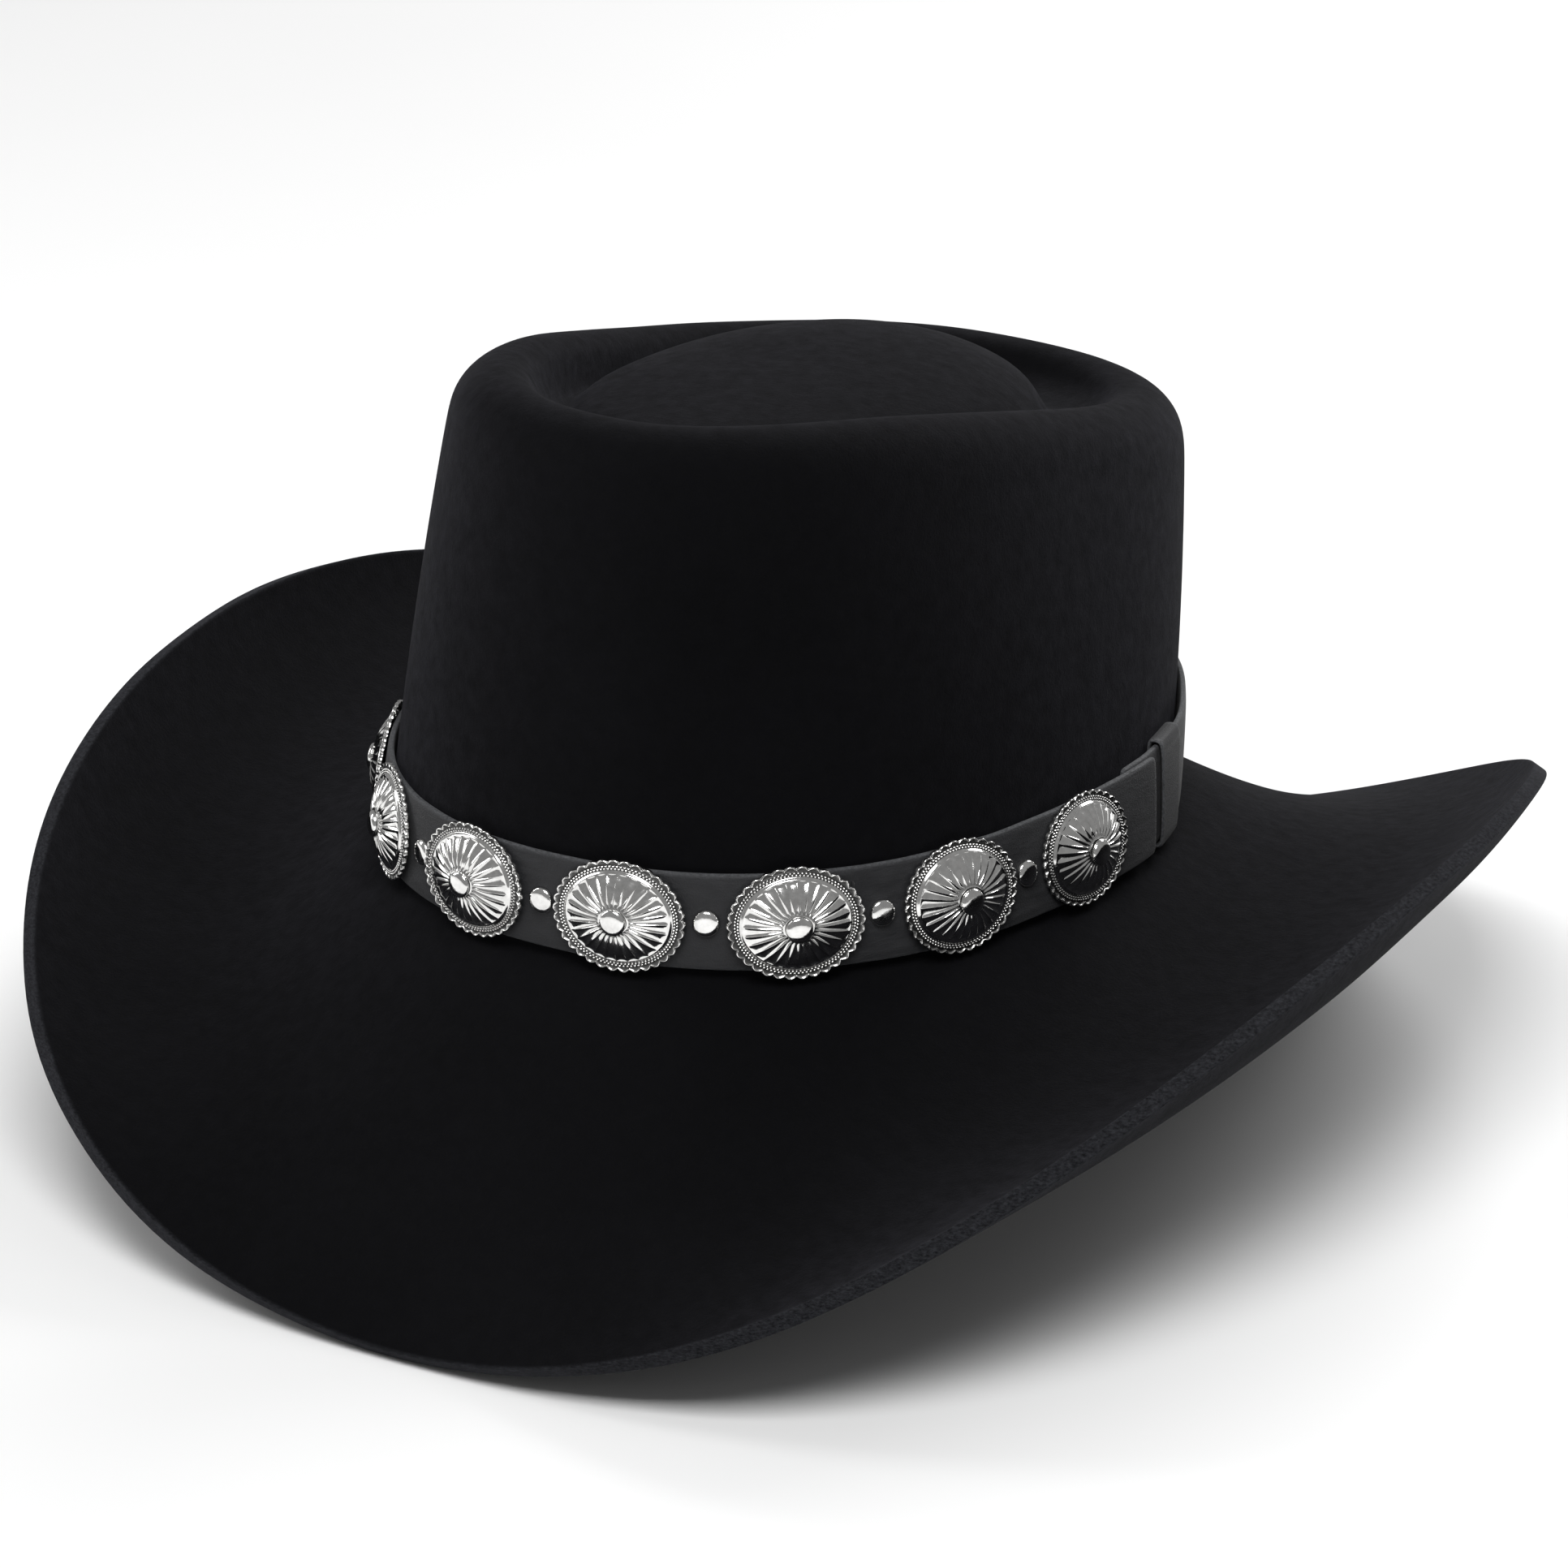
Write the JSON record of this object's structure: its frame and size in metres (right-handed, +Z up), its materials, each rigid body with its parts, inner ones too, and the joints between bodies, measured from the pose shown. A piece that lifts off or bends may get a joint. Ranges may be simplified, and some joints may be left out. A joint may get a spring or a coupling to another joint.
{
  "type": "western felt hat",
  "caption": "Western felt hat with a telescope crown, brim curled up at the sides, and a leather band with oval metal conchos.",
  "frame": {"origin": "under the middle of the brim's outline, level with the lowest point of the brim", "axes": "+Z up through the crown, -Y towards the hat's front, +X towards the wearer's left"},
  "size_m": [0.3502, 0.3772, 0.1995],
  "materials": {
    "black_felt": "dense pressed wool felt, matt, with a soft raised nap and a paler raw cut edge",
    "strap_leather": "charcoal leather with fine wrinkles and raw edges",
    "black_thread": "waxed thread",
    "silver": "bright plated stamping with dark recesses",
    "sweatband_leather": "smooth dark brown roan leather",
    "reed_plastic": "dark plastic reed",
    "ribbon": "black grosgrain ribbon",
    "tab_ribbon": "plain woven ribbon tab",
    "satin": "black satin weave with a soft sheen",
    "piping": "corded satin piping",
    "clear_film": "thin clear film"
  },
  "bodies": {
    "hat": {"felt_body": "black_felt", "hatband_strap": "strap_leather", "band_tacks": "black_thread", "sweatband": "sweatband_leather", "sweatband_reed": "reed_plastic", "sweatband_thread": "black_thread", "sweatband_back_tape": "ribbon", "sweatband_bow": "ribbon", "size_tab": "tab_ribbon", "lining_side": "satin", "lining_tip": "satin", "lining_piping": "piping", "lining_tip_shield": "clear_film", "concho_1": "silver", "concho_2": "silver", "concho_3": "silver", "concho_4": "silver", "concho_5": "silver", "concho_6": "silver", "concho_7": "silver", "concho_8": "silver", "concho_rivet_1": "silver", "concho_rivet_2": "silver", "concho_rivet_3": "silver", "concho_rivet_4": "silver", "concho_rivet_5": "silver", "concho_rivet_6": "silver", "concho_rivet_7": "silver", "concho_rivet_8": "silver", "spot_stud_1": "silver", "spot_stud_2": "silver", "spot_stud_3": "silver", "spot_stud_4": "silver", "spot_stud_5": "silver", "spot_stud_6": "silver", "spot_stud_7": "silver"},
    "keeper": {"strap_keeper": "strap_leather"}
  },
  "joints": [
    {"name": "keeper_slide", "type": "hinge", "parent": "hat", "child": "keeper", "pos_m": [-0.04771, -0.00057, 0.07324], "axis": [0, 0, 1], "range_deg": [-0.6, 1.2]}
  ]
}
